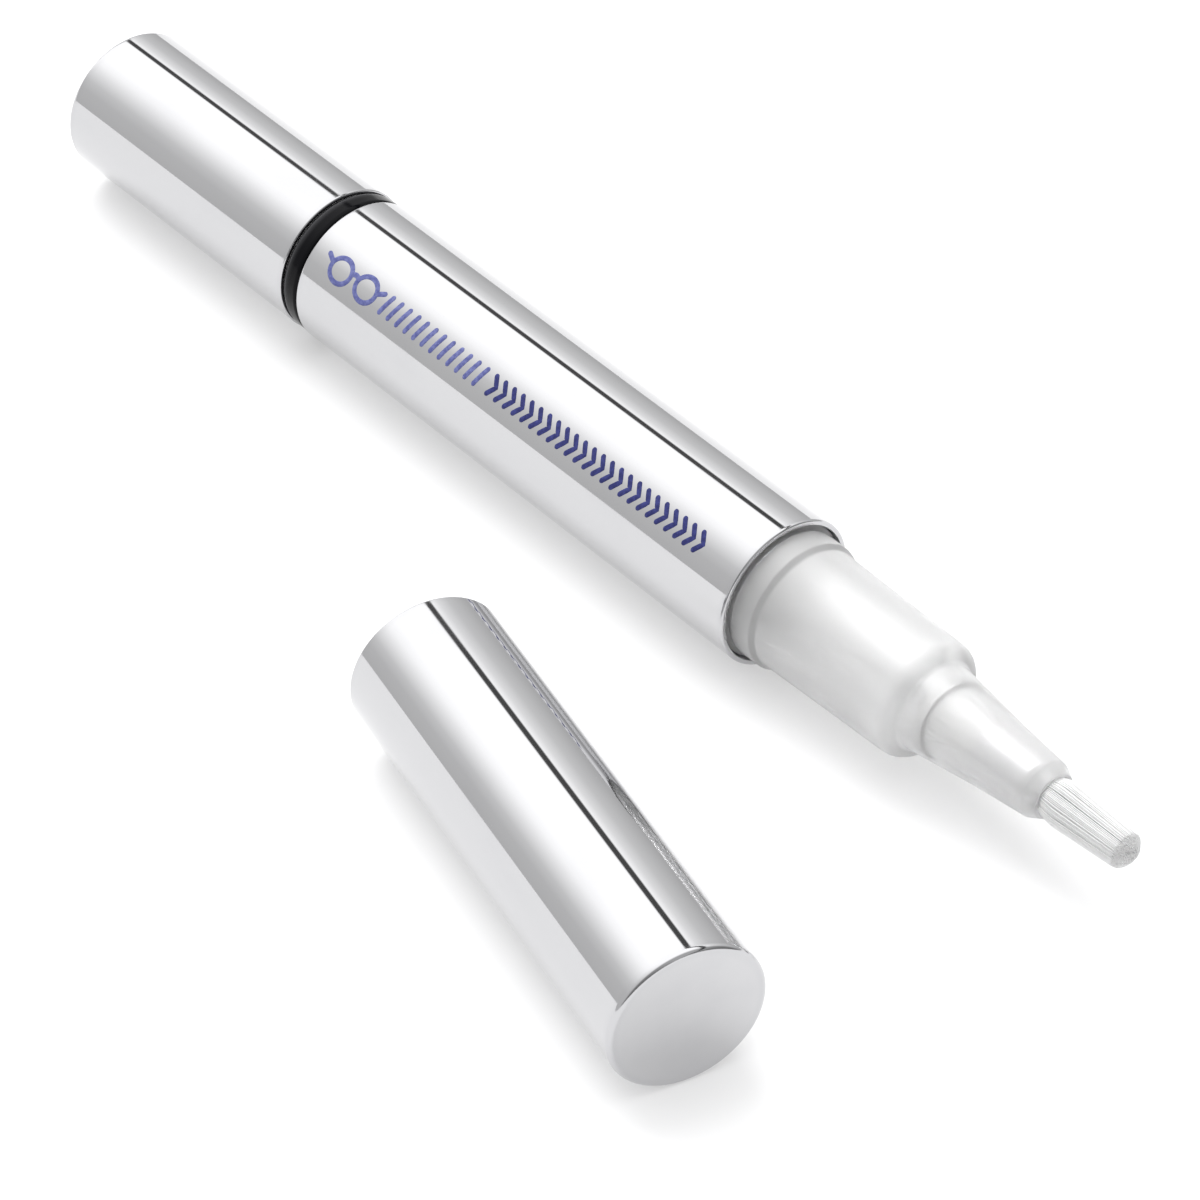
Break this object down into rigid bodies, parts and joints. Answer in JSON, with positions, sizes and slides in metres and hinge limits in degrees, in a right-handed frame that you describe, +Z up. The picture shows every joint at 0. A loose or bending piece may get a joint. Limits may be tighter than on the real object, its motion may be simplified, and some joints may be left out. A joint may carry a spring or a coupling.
{
  "type": "lens cleaning pen",
  "caption": "Slim twist-up fluid pen with mirror-polished tubes, a frosted nozzle with a soft round brush, a rear dial knob and a separate cap lying beside it.",
  "frame": {"origin": "on the pen's axis at the front rim of the barrel, where the cap's mouth comes to rest; the pen lies on a surface 7 mm below", "axes": "+X runs along the pen towards the brush, +Z is up from the surface it lies on, +Y is to the left seen from the knob"},
  "size_m": [0.1335, 0.0527, 0.014],
  "materials": {
    "polished_aluminium": "mirror polished, clear anodised",
    "black_plastic": "gloss black",
    "frosted_plastic": "frosted translucent polypropylene",
    "clear_plastic": "natural polypropylene",
    "white_plastic": "white acetal",
    "bristle": "soft white synthetic filament",
    "seal_rubber": "translucent silicone",
    "spring_steel": "stainless spring steel"
  },
  "bodies": {
    "barrel": {"barrel_shell": "polished_aluminium", "reservoir": "clear_plastic", "spacer_ring": "black_plastic", "nozzle": "frosted_plastic", "nozzle_seal": "seal_rubber", "brush_holder": "white_plastic", "feed_tube": "clear_plastic", "brush_crimp": "spring_steel", "brush_bristles": "bristle", "thread_bush": "white_plastic", "bearing_sleeve": "white_plastic", "ratchet_ring": "white_plastic"},
    "knob": {"knob_shell": "polished_aluminium", "drive_core": "white_plastic", "retaining_clip": "spring_steel", "click_spring": "spring_steel"},
    "plunger": {"piston_rod": "white_plastic", "piston": "white_plastic", "piston_seal": "seal_rubber"},
    "cap": {"cap_shell": "polished_aluminium", "cap_liner": "white_plastic", "cap_pad": "seal_rubber"}
  },
  "joints": [
    {"name": "knob_turn", "type": "hinge", "parent": "barrel", "child": "knob", "pos_m": [-0.0597, 0, 0], "axis": [1, 0, 0], "range_deg": [0, 3240]},
    {"name": "rod_feed", "type": "slide", "parent": "knob", "child": "plunger", "axis": [1, 0, 0], "range_m": [0, 0.0271]},
    {"name": "cap_pull", "type": "slide", "parent": "barrel", "child": "cap", "axis": [0.9745, -0.2244, 0], "range_m": [-0.035, 0.045]}
  ],
  "couplings": [
    {"joint": "rod_feed", "follows": "knob_turn", "m_per_rad": 0.00047746}
  ]
}
